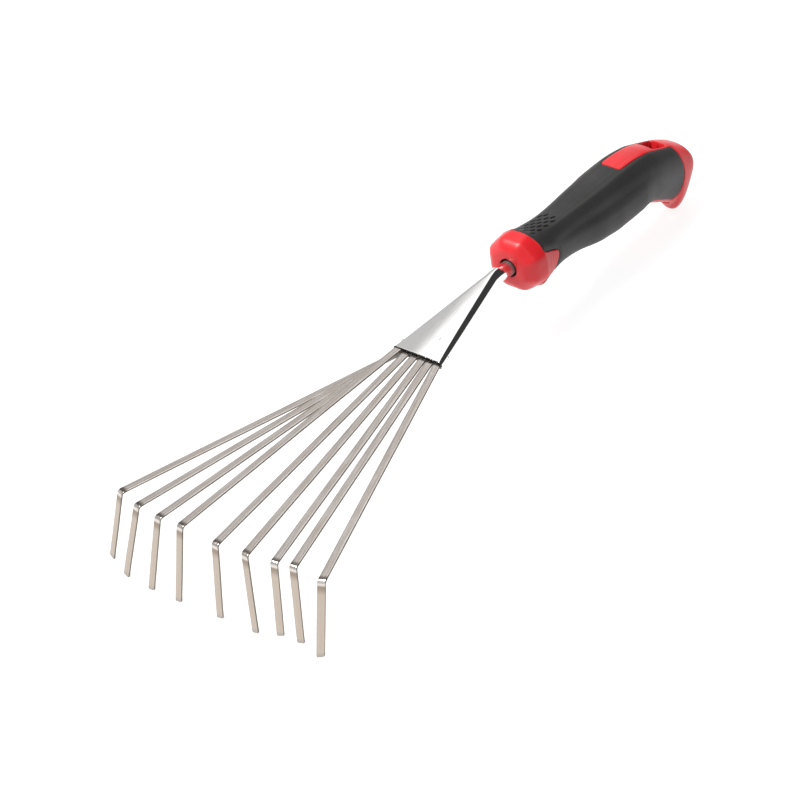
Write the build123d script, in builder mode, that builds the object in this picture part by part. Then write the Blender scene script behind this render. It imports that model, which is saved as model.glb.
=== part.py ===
from build123d import *
import math
import os

os.makedirs("parts", exist_ok=True)

# Hand rake, millimetres. X is across the fan, +Y runs from the tines to the handle, +Z is up.
# The rake lies as it is put down: nine tine tips and the heel of the handle touch Z = 0.
LENGTH = 370.0
FRONT_Y = -LENGTH / 2
REAR_Y = LENGTH / 2
CLEAR_OF_ALL = 70.0

# Ferrule: one chromed sheet, pressed flat at the mouth and rolled to a tube at the neck
MOUTH_Y = FRONT_Y + 160.4
MOUTH_Z = 37.2
MOUTH_WIDTH = 28.8
MOUTH_HEIGHT = 5.2
MOUTH_CORNER = 1.5
SHEET = 0.7
LIP_LENGTH = 6.5
FERRULE_LENGTH = 58.6
FERRULE_RISE = 8.0
NECK_DIAMETER = 7.6
NECK_CORNER = 3.7
NECK_BEND_RADIUS = 15.0
SHANK_FALL = 8.0
SHANK_LENGTH = 40.0
WELD_SETBACK = 0.6
WELD_LENGTH = 5.0
WELD_EDGE_X = -9.0

# Tang: a steel rod pressed into the ferrule's tube and moulded into the handle
TANG_DIAMETER = NECK_DIAMETER - 2 * SHEET
TANG_LENGTH = 86.0

# Tines: flat spring-steel strips, folded down at their outer ends
STRIP_WIDTH = 4.0
STRIP_THICKNESS = 0.9
STRIP_EDGE = 0.3
TIP_WEAR = 0.12
LEVEL_PITCH = STRIP_THICKNESS + 0.02
MIDDLE_LEVEL = 1.5
ROOT_LENGTH = 6.0
FAN_FALL = 0.75
FOLD_INNER_RADIUS = 1.2
LEAN_TO_SKEW = 1.29

# One row a tine, from -X to +X. The strips are bent by hand, so no two rows are quite alike.
# place across the mouth, layer in the mouth, place of the fold across, arm length,
# then in degrees: forward splay of the leg, sideways lean of the leg, slant of the cut tip
TINES = (
    (-11.3, 0, -58.9, 151.0, 16.0, -2.0, -12.0),
    (-11.3, 1, -44.7, 151.5, 18.0, -2.5, -10.0),
    (-11.3, 2, -30.0, 151.0, 16.0, -1.5, 10.0),
    (-11.3, 3, -16.5, 150.0, 15.0, 1.5, 12.0),
    (-6.6, 2, 4.5, 151.0, 12.5, 4.0, 12.0),
    (-1.8, 2, 20.6, 151.0, 13.0, 9.5, 14.0),
    (2.9, 2, 35.5, 150.5, 11.5, 2.5, 14.0),
    (7.15, 2, 44.5, 149.5, 13.5, 4.5, 10.0),
    (11.4, 2, 61.4, 154.0, 15.0, -3.0, 14.0),
)

# Handle: a red core with a faceted collar in front and a heel behind, overmoulded in black
COLLAR_Y = REAR_Y - 139.0
COLLAR_LENGTH = 12.0
COLLAR_FACETS = 8
COLLAR_TURN = 180 / COLLAR_FACETS
# distance behind the collar's front, height of the axis, half width over the flats, corner radius
COLLAR_RINGS = (
    (0.0, 44.2, 10.4, 3.0),
    (4.0, 43.8, 13.7, 4.0),
    (COLLAR_LENGTH, 42.8, 14.9, 9.0),
)
RECESS_RADIUS = 5.3
RECESS_DEPTH = 6.0
GRIP_Y = COLLAR_Y + COLLAR_LENGTH
GRIP_LENGTH = REAR_Y - GRIP_Y
GRIP_THICKNESS = 2.6

# Profile of the handle: distance behind the grip's front edge, top, bottom, half width
HANDLE_PROFILE = (
    (0.0, 58.0, 27.6, 15.1),
    (9.0, 54.9, 28.8, 13.0),
    (17.0, 53.8, 29.4, 12.2),
    (25.0, 53.1, 28.9, 12.2),
    (33.0, 53.0, 27.5, 12.8),
    (49.0, 53.0, 23.4, 14.7),
    (65.0, 53.1, 21.9, 15.6),
    (81.0, 52.2, 21.6, 15.5),
    (89.0, 51.1, 20.5, 15.5),
    (97.0, 49.2, 16.8, 15.7),
    (105.0, 46.4, 11.8, 15.9),
    (113.0, 42.9, 5.2, 15.9),
    (118.5, 40.1, -0.4, 15.9),
    (122.0, 38.0, 2.4, 15.6),
    (125.0, 35.2, 8.0, 14.4),
    (GRIP_LENGTH, 29.5, 13.0, 11.2),
)
SECTION_STEP = 8.0
CLOSE_SECTIONS_FROM = 110.0
CLOSE_SECTIONS = 6
SECTION_POINTS = 40
SECTION_ROUNDNESS = 2.3
INNER_START = 4.0
INNER_END = 118.0

# Thumb and finger grooves along both sides of the grip
GROOVE_ANGLE = 60.0
GROOVE_SPREAD = 17.0
GROOVE_DEPTH = 0.07
GROOVE_MIDDLE = 46.0
GROOVE_REACH = 26.0
HEEL_TAPER = 0.68
HEEL_TAPER_START = 80.0

# Where the red core shows: a tongue on each side, an inlay along the top, and the heel
# Points are distance behind the grip's front edge, then height; curves run smoothly through them.
TONGUE_EDGE = ((0, 51), (3, 48.8), (8, 46.4), (12, 42.6), (9.5, 37.5), (7.5, 33))
TONGUE_BOTTOM = 15.0
HEEL_REAR_EDGE = ((114.3, 41.2), (114.4, 36.3), (115, 28), (114.7, 21), (113.2, 14.8))
HEEL_LOWER_EDGE = ((110, 12.7), (105.4, 15.3), (100.5, 18.2), (93, 22.4), (84, 24.5), (76, 23), (71, 15))
INLAY_WIDTH = 12.0
INLAY_START = 71.7
INLAY_CORNER = 2.5
INLAY_FLOOR = 36.0
HOLE_WIDTH = 10.0
HOLE_LENGTH = 11.0
HOLE_PLACE = 106.0
HOLE_CORNER = 1.5
HOLE_RIM = 1.0


def direction_in_yz(angle):
    """Unit vector in the YZ plane, pointing to +Y and raised by angle degrees."""
    return Vector(0, math.cos(math.radians(angle)), math.sin(math.radians(angle)))


mouth_center = Vector(0, MOUTH_Y, MOUTH_Z)
ferrule_direction = direction_in_yz(FERRULE_RISE)
shank_direction = direction_in_yz(-SHANK_FALL)
mouth_plane = Plane(origin=mouth_center, x_dir=(1, 0, 0), z_dir=-ferrule_direction)
fan_plane = Plane(origin=mouth_center, x_dir=(1, 0, 0), z_dir=direction_in_yz(FAN_FALL + 90))


# ---------------------------------------------------------------- tines
def make_tine(mouth_x, level, fold_x, arm_length, splay, lean, slant):
    """One tine: root in the ferrule, flat arm, tight fold, and a leg cut off at the ground."""
    heading = math.asin((fold_x - mouth_x) / arm_length)
    skew = math.radians(lean * LEAN_TO_SKEW)
    across = fan_plane.x_dir
    inward = fan_plane.y_dir
    upward = fan_plane.z_dir
    start = mouth_center + across * mouth_x + upward * ((level - MIDDLE_LEVEL) * LEVEL_PITCH)
    arm = across * math.sin(heading) - inward * math.cos(heading)
    side = across * math.cos(heading) + inward * math.sin(heading)
    fold_line = side * math.cos(skew) + arm * math.sin(skew)
    fold_angle = 90 - splay - FAN_FALL
    leg = arm.rotate(Axis((0, 0, 0), fold_line), fold_angle)
    corner = start + arm * arm_length

    fold_radius = FOLD_INNER_RADIUS + STRIP_THICKNESS / 2
    fold_start = corner - arm * (fold_radius * math.tan(math.radians(fold_angle / 2)))
    fold_plane = Plane(origin=fold_start, x_dir=fold_line, z_dir=fold_line.cross(upward))
    fold_axis = Axis(fold_start - upward * fold_radius, fold_line)

    tip_line = side.rotate(Axis((0, 0, 0), arm), slant)
    tip_lift = STRIP_WIDTH / 2 * math.sin(math.radians(abs(slant))) - TIP_WEAR
    foot = corner + leg * ((corner.Z - tip_lift) / -leg.Z)
    tip_plane = Plane(origin=foot, x_dir=tip_line, z_dir=arm.cross(tip_line))

    with BuildPart() as tine:
        with BuildSketch(fold_plane):
            RectangleRounded(STRIP_WIDTH / math.cos(skew), STRIP_THICKNESS, STRIP_EDGE)
        extrude(amount=arm_length, dir=-arm)
        split(bisect_by=mouth_plane, keep=Keep.TOP)
        extrude(tine.faces().sort_by(Axis.Y)[-1], amount=ROOT_LENGTH, dir=ferrule_direction)
        revolve(tine.faces().sort_by(Axis.Y)[0], axis=fold_axis, revolution_arc=fold_angle)
        extrude(tine.faces().sort_by(Axis.Z)[0], amount=corner.Z + STRIP_WIDTH, dir=leg)
        split(bisect_by=tip_plane, keep=Keep.TOP)
        split(bisect_by=Plane.XY, keep=Keep.TOP)
    return tine.part


for number, row in enumerate(TINES, start=1):
    tine_part = make_tine(*row)
    tine_part.label = f"tine_{number}"
    export_step(tine_part, f"parts/tine_{number}.step")

# ---------------------------------------------------------------- ferrule
along_ferrule = Plane(origin=mouth_center, x_dir=(1, 0, 0), z_dir=ferrule_direction)
neck_plane = along_ferrule.offset(FERRULE_LENGTH)
neck_center = neck_plane.origin
bend_length = NECK_BEND_RADIUS * math.tan(math.radians((FERRULE_RISE + SHANK_FALL) / 2))
bend_end = neck_center + (ferrule_direction + shank_direction) * bend_length


def ferrule_body(wall):
    """Ferrule with its tube as one solid, drawn in by the given wall all round."""
    neck_width = NECK_DIAMETER - 2 * wall
    with BuildPart() as body:
        with BuildSketch(along_ferrule):
            RectangleRounded(MOUTH_WIDTH - 2 * wall, MOUTH_HEIGHT - 2 * wall, MOUTH_CORNER - wall)
        extrude(amount=LIP_LENGTH)
        with BuildSketch(along_ferrule.offset(LIP_LENGTH)):
            RectangleRounded(MOUTH_WIDTH - 2 * wall, MOUTH_HEIGHT - 2 * wall, MOUTH_CORNER - wall)
        with BuildSketch(neck_plane):
            RectangleRounded(neck_width, neck_width, NECK_CORNER - wall)
        loft()
        with BuildLine() as tube_line:
            TangentArc(neck_center, bend_end, tangent=ferrule_direction)
            Line(bend_end, bend_end + shank_direction * SHANK_LENGTH)
        with BuildSketch(neck_plane):
            Circle(neck_width / 2)
        sweep(path=tube_line.wire())
    return body.part


ferrule_outside = ferrule_body(0)
ferrule_inside = ferrule_body(SHEET)
with BuildPart() as ferrule:
    add(ferrule_outside)
    add(ferrule_inside, mode=Mode.SUBTRACT)
ferrule.part.label = "ferrule"
export_step(ferrule.part, "parts/ferrule.step")

# Weld that holds the five side-by-side roots down on the ferrule's floor
with BuildPart() as root_weld:
    add(ferrule_inside)
    with BuildSketch(along_ferrule.offset(WELD_SETBACK)):
        with Locations((WELD_EDGE_X, 0)):
            Rectangle(MOUTH_WIDTH, MOUTH_HEIGHT, align=(Align.MIN, Align.MIN))
    extrude(amount=WELD_LENGTH, mode=Mode.INTERSECT)
root_weld.part.label = "root_weld"
export_step(root_weld.part, "parts/root_weld.step")

# ---------------------------------------------------------------- tang
with BuildPart() as tang:
    with BuildLine() as tang_line:
        TangentArc(neck_center, bend_end, tangent=ferrule_direction)
        Line(bend_end, bend_end + shank_direction * TANG_LENGTH)
    with BuildSketch(neck_plane):
        Circle(TANG_DIAMETER / 2)
    sweep(path=tang_line.wire())
tang.part.label = "tang"
export_step(tang.part, "parts/tang.step")


# ---------------------------------------------------------------- handle
def smooth(column, place):
    """One column of the handle's profile at a place, on a smooth curve through its rows."""
    rows = HANDLE_PROFILE
    last = len(rows) - 2
    i = max([k for k in range(last + 1) if rows[k][0] <= place])
    span = rows[i + 1][0] - rows[i][0]
    slope = (rows[i + 1][column] - rows[i][column]) / span
    start_slope = slope
    end_slope = slope
    if i > 0:
        start_slope = (rows[i + 1][column] - rows[i - 1][column]) / (rows[i + 1][0] - rows[i - 1][0])
    if i < last:
        end_slope = (rows[i + 2][column] - rows[i][column]) / (rows[i + 2][0] - rows[i][0])
    t = (place - rows[i][0]) / span
    value = rows[i][column] + t * t * (3 - 2 * t) * (rows[i + 1][column] - rows[i][column])
    return value + span * t * (1 - t) * ((1 - t) * start_slope - t * end_slope)


def handle_section(place, inset):
    """Points of the handle's cross-section, in X and Z, at a place behind the grip's front edge."""
    top = smooth(1, place) - inset
    bottom = smooth(2, place) + inset
    half_width = smooth(3, place) - inset
    groove = GROOVE_DEPTH * math.exp(-(((place - GROOVE_MIDDLE) / GROOVE_REACH) ** 2))
    taper = HEEL_TAPER * max(0, (place - HEEL_TAPER_START) / (GRIP_LENGTH - HEEL_TAPER_START))
    points = []
    for k in range(SECTION_POINTS):
        angle = 2 * math.pi * k / SECTION_POINTS
        across = math.sin(angle)
        up = math.cos(angle)
        power = abs(across) ** SECTION_ROUNDNESS + abs(up) ** SECTION_ROUNDNESS
        from_groove = (math.degrees(math.acos(up)) - GROOVE_ANGLE) / GROOVE_SPREAD
        size = power ** (-1 / SECTION_ROUNDNESS) * (1 - groove * math.exp(-(from_groove**2)))
        x = half_width * size * across * (1 - taper * (1 - up) / 2)
        points.append((x, (top + bottom) / 2 + (top - bottom) / 2 * size * up))
    return points


def handle_loft(places, inset):
    """Handle-shaped solid through the sections at the given places."""
    with BuildPart() as shape:
        for place in places:
            with BuildSketch(Plane.XZ.offset(-(GRIP_Y + place))):
                with BuildLine():
                    Spline(*handle_section(place, inset), periodic=True)
                make_face()
        loft()
    return shape.part


even_places = [SECTION_STEP * k for k in range(round(CLOSE_SECTIONS_FROM / SECTION_STEP))]
close_angles = [math.pi / 2 * k / CLOSE_SECTIONS for k in range(CLOSE_SECTIONS + 1)]
rear_length = GRIP_LENGTH - CLOSE_SECTIONS_FROM
rear_places = [CLOSE_SECTIONS_FROM + rear_length * math.sin(angle) for angle in close_angles]
outer_body = handle_loft(even_places + rear_places, 0)
inner_body = handle_loft([INNER_START] + even_places[1:] + [INNER_END], GRIP_THICKNESS)

tongue_points = [(GRIP_Y + place, height) for place, height in TONGUE_EDGE]
tongue_corners = (
    tongue_points[-1],
    (tongue_points[-1][0], TONGUE_BOTTOM),
    (COLLAR_Y, TONGUE_BOTTOM),
    (COLLAR_Y, CLEAR_OF_ALL),
    (GRIP_Y, CLEAR_OF_ALL),
    tongue_points[0],
)
heel_points = [(GRIP_Y + place, height) for place, height in HEEL_REAR_EDGE + HEEL_LOWER_EDGE]
heel_corners = (
    heel_points[-1],
    (heel_points[-1][0], -CLEAR_OF_ALL),
    (REAR_Y + CLEAR_OF_ALL, -CLEAR_OF_ALL),
    (REAR_Y + CLEAR_OF_ALL, CLEAR_OF_ALL),
    (heel_points[0][0], CLEAR_OF_ALL),
    heel_points[0],
)

with BuildPart() as grip:
    add(outer_body)
    add(inner_body, mode=Mode.SUBTRACT)
    for curve_points, corners in ((tongue_points, tongue_corners), (heel_points, heel_corners)):
        with BuildSketch(Plane.YZ):
            with BuildLine():
                Spline(*curve_points)
                Polyline(*corners)
            make_face()
        extrude(amount=CLEAR_OF_ALL, both=True, mode=Mode.SUBTRACT)
    with BuildSketch(Plane.XY.offset(INLAY_FLOOR)):
        with Locations((0, GRIP_Y + INLAY_START)):
            RectangleRounded(INLAY_WIDTH, LENGTH, INLAY_CORNER, align=(Align.CENTER, Align.MIN))
    extrude(amount=CLEAR_OF_ALL, mode=Mode.SUBTRACT)
    with BuildSketch(Plane.XY):
        with Locations((0, GRIP_Y + HOLE_PLACE)):
            Rectangle(INLAY_WIDTH, HOLE_LENGTH + 2 * HOLE_RIM)
    extrude(amount=CLEAR_OF_ALL, mode=Mode.SUBTRACT)
grip.part.label = "grip"
export_step(grip.part, "parts/grip.step")

with BuildPart() as handle_core:
    for distance, axis_z, half_width, corner in COLLAR_RINGS:
        with BuildSketch(Plane.XZ.offset(-(COLLAR_Y + distance))):
            with Locations((0, axis_z)):
                ring = RegularPolygon(half_width, COLLAR_FACETS, major_radius=False, rotation=COLLAR_TURN)
            fillet(ring.vertices(), corner)
    loft(ruled=True)
    add(outer_body)
    add(grip.part, mode=Mode.SUBTRACT)
    add(ferrule_outside, mode=Mode.SUBTRACT)
    add(tang.part, mode=Mode.SUBTRACT)
    with BuildSketch(Plane.XZ.offset(-COLLAR_Y)):
        with Locations((0, COLLAR_RINGS[0][1])):
            Circle(RECESS_RADIUS)
    extrude(amount=-RECESS_DEPTH, mode=Mode.SUBTRACT)
    with BuildSketch(Plane.XY.offset(-CLEAR_OF_ALL)):
        with Locations((0, GRIP_Y + HOLE_PLACE)):
            RectangleRounded(HOLE_WIDTH, HOLE_LENGTH, HOLE_CORNER)
    extrude(amount=2 * CLEAR_OF_ALL, mode=Mode.SUBTRACT)
    split(bisect_by=Plane.XY, keep=Keep.TOP)
handle_core.part.label = "handle_core"
export_step(handle_core.part, "parts/handle_core.step")
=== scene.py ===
from math import acos, asin, copysign, cos, degrees, exp, hypot, pi, radians, sin, tan

import bmesh
import bpy
import numpy as np
from mathutils import Matrix, Vector


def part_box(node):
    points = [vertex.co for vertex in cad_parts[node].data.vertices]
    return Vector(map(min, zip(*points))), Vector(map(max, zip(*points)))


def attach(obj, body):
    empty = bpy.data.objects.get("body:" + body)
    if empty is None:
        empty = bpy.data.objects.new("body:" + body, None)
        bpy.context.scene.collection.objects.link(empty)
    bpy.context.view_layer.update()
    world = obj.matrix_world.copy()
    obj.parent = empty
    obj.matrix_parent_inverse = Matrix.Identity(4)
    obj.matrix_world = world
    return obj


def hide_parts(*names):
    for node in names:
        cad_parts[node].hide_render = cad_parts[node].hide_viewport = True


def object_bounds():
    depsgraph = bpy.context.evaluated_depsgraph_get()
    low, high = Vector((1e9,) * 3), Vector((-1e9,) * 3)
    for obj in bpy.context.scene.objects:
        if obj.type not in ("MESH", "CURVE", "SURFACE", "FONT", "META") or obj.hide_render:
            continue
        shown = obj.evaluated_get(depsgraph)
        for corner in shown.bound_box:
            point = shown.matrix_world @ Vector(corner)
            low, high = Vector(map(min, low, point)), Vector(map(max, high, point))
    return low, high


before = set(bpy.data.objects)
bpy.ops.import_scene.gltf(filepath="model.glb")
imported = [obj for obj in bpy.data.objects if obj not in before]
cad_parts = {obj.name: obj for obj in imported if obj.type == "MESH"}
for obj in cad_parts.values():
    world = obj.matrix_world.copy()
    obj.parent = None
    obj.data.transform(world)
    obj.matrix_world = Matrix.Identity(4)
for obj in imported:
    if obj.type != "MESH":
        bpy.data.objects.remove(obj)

# A hand rake in metres: X across the fan of tines, +Y from the tines to the handle, +Z up.
# Every place is read from the CAD frame; the sizes named here are details that the frame leaves plain.
WHOLE_LOW, WHOLE_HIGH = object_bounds()
RIGHT, BACK, UP = Vector((1, 0, 0)), Vector((0, 1, 0)), Vector((0, 0, 1))

# -------- helpers


def rows_of(items, key, size, kind):
    """One property of every item of a mesh, as an array of rows of that size."""
    rows = np.zeros(len(items) * size, kind)
    items.foreach_get(key, rows)
    return rows.reshape(-1, size)


def corners_of(node):
    """Vertices of a CAD node as an array of rows."""
    return rows_of(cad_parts[node].data.vertices, "co", 3, float)


def crossings(node, point, normal):
    """Where a plane crosses the edges of a CAD node."""
    corners = corners_of(node)
    ends = rows_of(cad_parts[node].data.edges, "vertices", 2, int)
    side = (corners - np.array(point)) @ np.array(normal)
    first, second = ends[:, 0], ends[:, 1]
    crossed = side[first] * side[second] < 0
    first, second = first[crossed], second[crossed]
    share = side[first] / (side[first] - side[second])
    return corners[first] + (corners[second] - corners[first]) * share[:, None]


def middle(points):
    """Middle of the box around some points."""
    return Vector((points.min(0) + points.max(0)) / 2)


def extent(points, direction):
    """How far some points reach along a direction."""
    along = points @ np.array(direction)
    return along.max() - along.min()


def largest_face(node, wanted):
    """The largest of a CAD node's faces that a test on centre and normal picks."""
    faces = [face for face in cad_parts[node].data.polygons if wanted(face.center, face.normal)]
    return max(faces, key=lambda face: face.area)


def meeting(point_a, direction_a, point_b, direction_b):
    """Point of line a that is nearest to line b."""
    across = direction_a.cross(direction_b)
    share = (point_b - point_a).cross(direction_b).dot(across) / across.length_squared
    return point_a + direction_a * share


def blend_step(low, high, value):
    """0 below low, 1 above high, and smooth in between."""
    share = np.clip((value - low) / (high - low), 0, 1)
    return share * share * (3 - 2 * share)


def add_object(name, data):
    """A new object in the scene."""
    made = bpy.data.objects.new(name, data)
    bpy.context.scene.collection.objects.link(made)
    return made


def turn_object(made, place, rotation):
    """Puts a light or the camera at a place, with a rotation."""
    made.location = place
    made.rotation_mode = "QUATERNION"
    made.rotation_quaternion = rotation


SHARP_EDGE = 40


def close_mesh(mesh, sharp, bridged=False):
    """Outward normals and smooth shading up to an angle, after a wall between two open rims if bridged."""
    solid = bmesh.new()
    solid.from_mesh(mesh)
    if bridged:
        bmesh.ops.bridge_loops(solid, edges=[edge for edge in solid.edges if edge.is_boundary])
    bmesh.ops.recalc_face_normals(solid, faces=solid.faces)
    solid.to_mesh(mesh)
    solid.free()
    mesh.shade_smooth()
    mesh.set_sharp_from_angle(angle=radians(sharp))


def make_piece(name, points, faces, material, replaced, notes=None, sharp=SHARP_EDGE):
    """A piece of the rake as a mesh that rides on the frame; notes holds named values, one row a point."""
    mesh = bpy.data.meshes.new(name)
    mesh.from_pydata([tuple(point) for point in points], [], faces)
    mesh.validate()
    for key, rows in (notes or {}).items():
        attribute = mesh.attributes.new(key, "FLOAT_VECTOR", "POINT")
        attribute.data.foreach_set("vector", np.array(rows, dtype=np.float32).ravel())
    close_mesh(mesh, sharp)
    mesh.materials.append(material)
    piece = add_object(name, mesh)
    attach(piece, "root")
    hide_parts(*replaced)
    return piece


def tube_faces(rows, columns):
    """Quads between rings of points that follow each other."""
    faces = []
    for row in range(rows - 1):
        for column in range(columns):
            following = (column + 1) % columns
            low = row * columns
            high = low + columns
            faces.append((low + column, low + following, high + following, high + column))
    return faces


def end_faces(rows, columns):
    """The faces that close a tube's first and last ring."""
    return [tuple(range(columns)), tuple(range((rows - 1) * columns, rows * columns))]


# -------- materials


class Nodes:
    """The node tree of a material or of the world, with short calls for the nodes used here."""

    def __init__(self, owner, shader="Principled BSDF"):
        owner.use_nodes = True
        self.owner = owner
        self.tree = owner.node_tree
        self.shader = self.tree.nodes[shader]

    def feed(self, target, value):
        """Gives an input a constant or the output of another node."""
        if isinstance(value, bpy.types.NodeSocket):
            self.tree.links.new(value, target)
        else:
            target.default_value = value

    def node(self, kind, inputs, **settings):
        """A new node, with what each named or numbered input gets."""
        made = self.tree.nodes.new(kind)
        for key, value in settings.items():
            setattr(made, key, value)
        for key, value in inputs.items():
            self.feed(made.inputs[key], value)
        return made

    def set(self, **values):
        """Constants, or outputs of other nodes, for the shader's own sockets."""
        for key, value in values.items():
            self.feed(self.shader.inputs[key.replace("_", " ")], value)

    def place(self, kind="Object"):
        """Coordinates, in metres on an object."""
        return self.node("ShaderNodeTexCoord", {}).outputs[kind]

    def note(self, name):
        """A named value kept on the mesh."""
        return self.node("ShaderNodeAttribute", {}, attribute_name=name).outputs["Vector"]

    def part(self, vector, axis):
        """One component of a vector."""
        return self.node("ShaderNodeSeparateXYZ", {0: vector}).outputs[axis]

    def stretch(self, vector, scale):
        """A vector with each component scaled."""
        return self.node("ShaderNodeMapping", {"Vector": vector, "Scale": scale}).outputs["Vector"]

    def noise(self, vector, scale, detail=4.0, roughness=0.55):
        inputs = {"Vector": vector, "Scale": scale, "Detail": detail, "Roughness": roughness}
        return self.node("ShaderNodeTexNoise", inputs).outputs["Fac"]

    def span(self, value, low, high, to_low, to_high, smooth=False):
        """A value carried from one range to another, and held inside it."""
        inputs = {"Value": value, "From Min": low, "From Max": high, "To Min": to_low, "To Max": to_high}
        kind = "SMOOTHSTEP" if smooth else "LINEAR"
        return self.node("ShaderNodeMapRange", inputs, interpolation_type=kind).outputs["Result"]

    def combine(self, operation, *values):
        """Maths on values, each a socket or a number."""
        return self.node("ShaderNodeMath", dict(enumerate(values)), operation=operation).outputs[0]

    def add(self, first, second):
        return self.combine("ADD", first, second)

    def times(self, first, second):
        return self.combine("MULTIPLY", first, second)

    def mix(self, share, first, second):
        """A mix of two colours, each a socket or three numbers."""
        first, second = [(*value, 1) if isinstance(value, tuple) else value for value in (first, second)]
        return self.node("ShaderNodeMix", {0: share, 6: first, 7: second}, data_type="RGBA").outputs[2]

    def band(self, value, start, full, fading, end):
        """1 between full and fading, 0 outside start and end, and smooth in between."""
        rising = self.span(value, start, full, 0, 1, smooth=True)
        falling = self.span(value, fading, end, 1, 0, smooth=True)
        return self.times(rising, falling)

    def bump(self, height, distance):
        """Fine relief of a given height in metres."""
        made = self.node("ShaderNodeBump", {"Height": height, "Distance": distance})
        self.set(Normal=made.outputs["Normal"])


STEEL_LIGHT = (0.71, 0.66, 0.62)
STEEL_DARK = (0.55, 0.5, 0.465)
STEEL_TINT = (0.54, 0.47, 0.41)
STEEL_LEG_SHADE = (0.42, 0.355, 0.295)
STEEL_GROUND = (0.34, 0.325, 0.31)
STEEL_EDGE_SHADE = (0.13, 0.115, 0.1)
STEEL_ARM_FOLD_SHADE = (0.075, 0.065, 0.055)
STEEL_FOLD_HIGHLIGHT = (0.62, 0.59, 0.55)
STEEL_LEG_FOLD_SHADE = (0.24, 0.19, 0.15)
STEEL_GRAIN = (1100, 36, 0)
STEEL_RELIEF = 0.000009
# where each painted band starts, is full, fades and ends, from the middle of the fold, positive on the arm:
# painted shade on the leg below the fold, a painted highlight on the fold, painted shade on the arm above it
LEG_FOLD_SHADE_ZONE = (-0.007, -0.003, -0.0025, -0.0019)
FOLD_HIGHLIGHT_ZONE = (-0.0021, -0.0014, -0.0004, 0.0001)
ARM_FOLD_SHADE_ZONE = (0.0001, 0.0007, 0.0012, 0.0036)
# full and faded: the leg's painted shade, from the fold, and the tip's tone, from the cut; then how the
# edge's painted shade rises
LEG_SHADE_FADE = (-0.0026, -0.0016)
TIP_FADE = (0.0002, 0.0026)
EDGE_SHADE_START = (0.00166, 0.0019)


def steel_material():
    """Spring steel strip: satin, slightly warm, with grain along it and ground tips; painted shade and a
    painted highlight in bands at the fold, painted shade on the legs and along the edges.
    """
    steel = Nodes(bpy.data.materials.new("tine_steel"))
    # x across the strip, y along it from the tip, z from the middle of the fold, positive on the arm
    where = steel.note("strip")
    from_fold = steel.part(where, "Z")
    grain = steel.noise(steel.stretch(where, STEEL_GRAIN), 1.0, 4, 0.6)
    blotches = steel.noise(steel.place(), 90, 3)
    speckle = steel.noise(steel.place(), 1500, 2, 0.7)
    base = steel.mix(steel.span(grain, 0.38, 0.62, 0, 1), STEEL_DARK, STEEL_LIGHT)
    base = steel.mix(steel.span(blotches, 0.42, 0.7, 0, 0.5), base, STEEL_TINT)
    # painted shade: a darker copy of the steel on the legs
    base = steel.mix(steel.span(from_fold, *LEG_SHADE_FADE, 0.8, 0), base, STEEL_LEG_SHADE)
    # painted shade on the leg below the fold, a painted highlight on the fold and painted shade on the arm
    # above it
    base = steel.mix(steel.times(steel.band(from_fold, *LEG_FOLD_SHADE_ZONE), 0.75), base, STEEL_LEG_FOLD_SHADE)
    base = steel.mix(steel.times(steel.band(from_fold, *FOLD_HIGHLIGHT_ZONE), 0.85), base, STEEL_FOLD_HIGHLIGHT)
    arm_fold_shade = steel.times(steel.band(from_fold, *ARM_FOLD_SHADE_ZONE), steel.span(speckle, 0.3, 0.6, 0.6, 1))
    base = steel.mix(arm_fold_shade, base, STEEL_ARM_FOLD_SHADE)
    near_tip = steel.span(steel.part(where, "Y"), *TIP_FADE, 0.85, 0, smooth=True)
    ground = steel.times(near_tip, steel.span(speckle, 0.3, 0.6, 0.4, 1))
    base = steel.mix(ground, base, STEEL_GROUND)
    from_middle = steel.combine("ABSOLUTE", steel.part(where, "X"))
    at_edge = steel.span(from_middle, *EDGE_SHADE_START, 0, 0.75, smooth=True)
    # painted shade along both edges of the strip
    base = steel.mix(at_edge, base, STEEL_EDGE_SHADE)
    shine = steel.add(steel.span(grain, 0.3, 0.7, 0.16, 0.24), steel.span(speckle, 0.3, 0.7, 0, 0.06))
    shine = steel.add(shine, steel.times(near_tip, 0.25))
    shine = steel.add(shine, steel.times(at_edge, 0.35))
    steel.bump(steel.add(grain, steel.times(speckle, 0.2)), STEEL_RELIEF)
    steel.set(Base_Color=base, Roughness=shine, Metallic=1.0)
    return steel.owner


CHROME_CLEAR = (0.9, 0.89, 0.885)
CHROME_CLOUDED = (0.82, 0.81, 0.8)
CHROME_HAZE_AND_SHADE = (0.5, 0.48, 0.48)
CHROME_WIPING = (900, 60, 900)
CHROME_RELIEF = 0.000003
CUT_EDGE_SHADE = (0.02, 0.02, 0.02)


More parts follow.
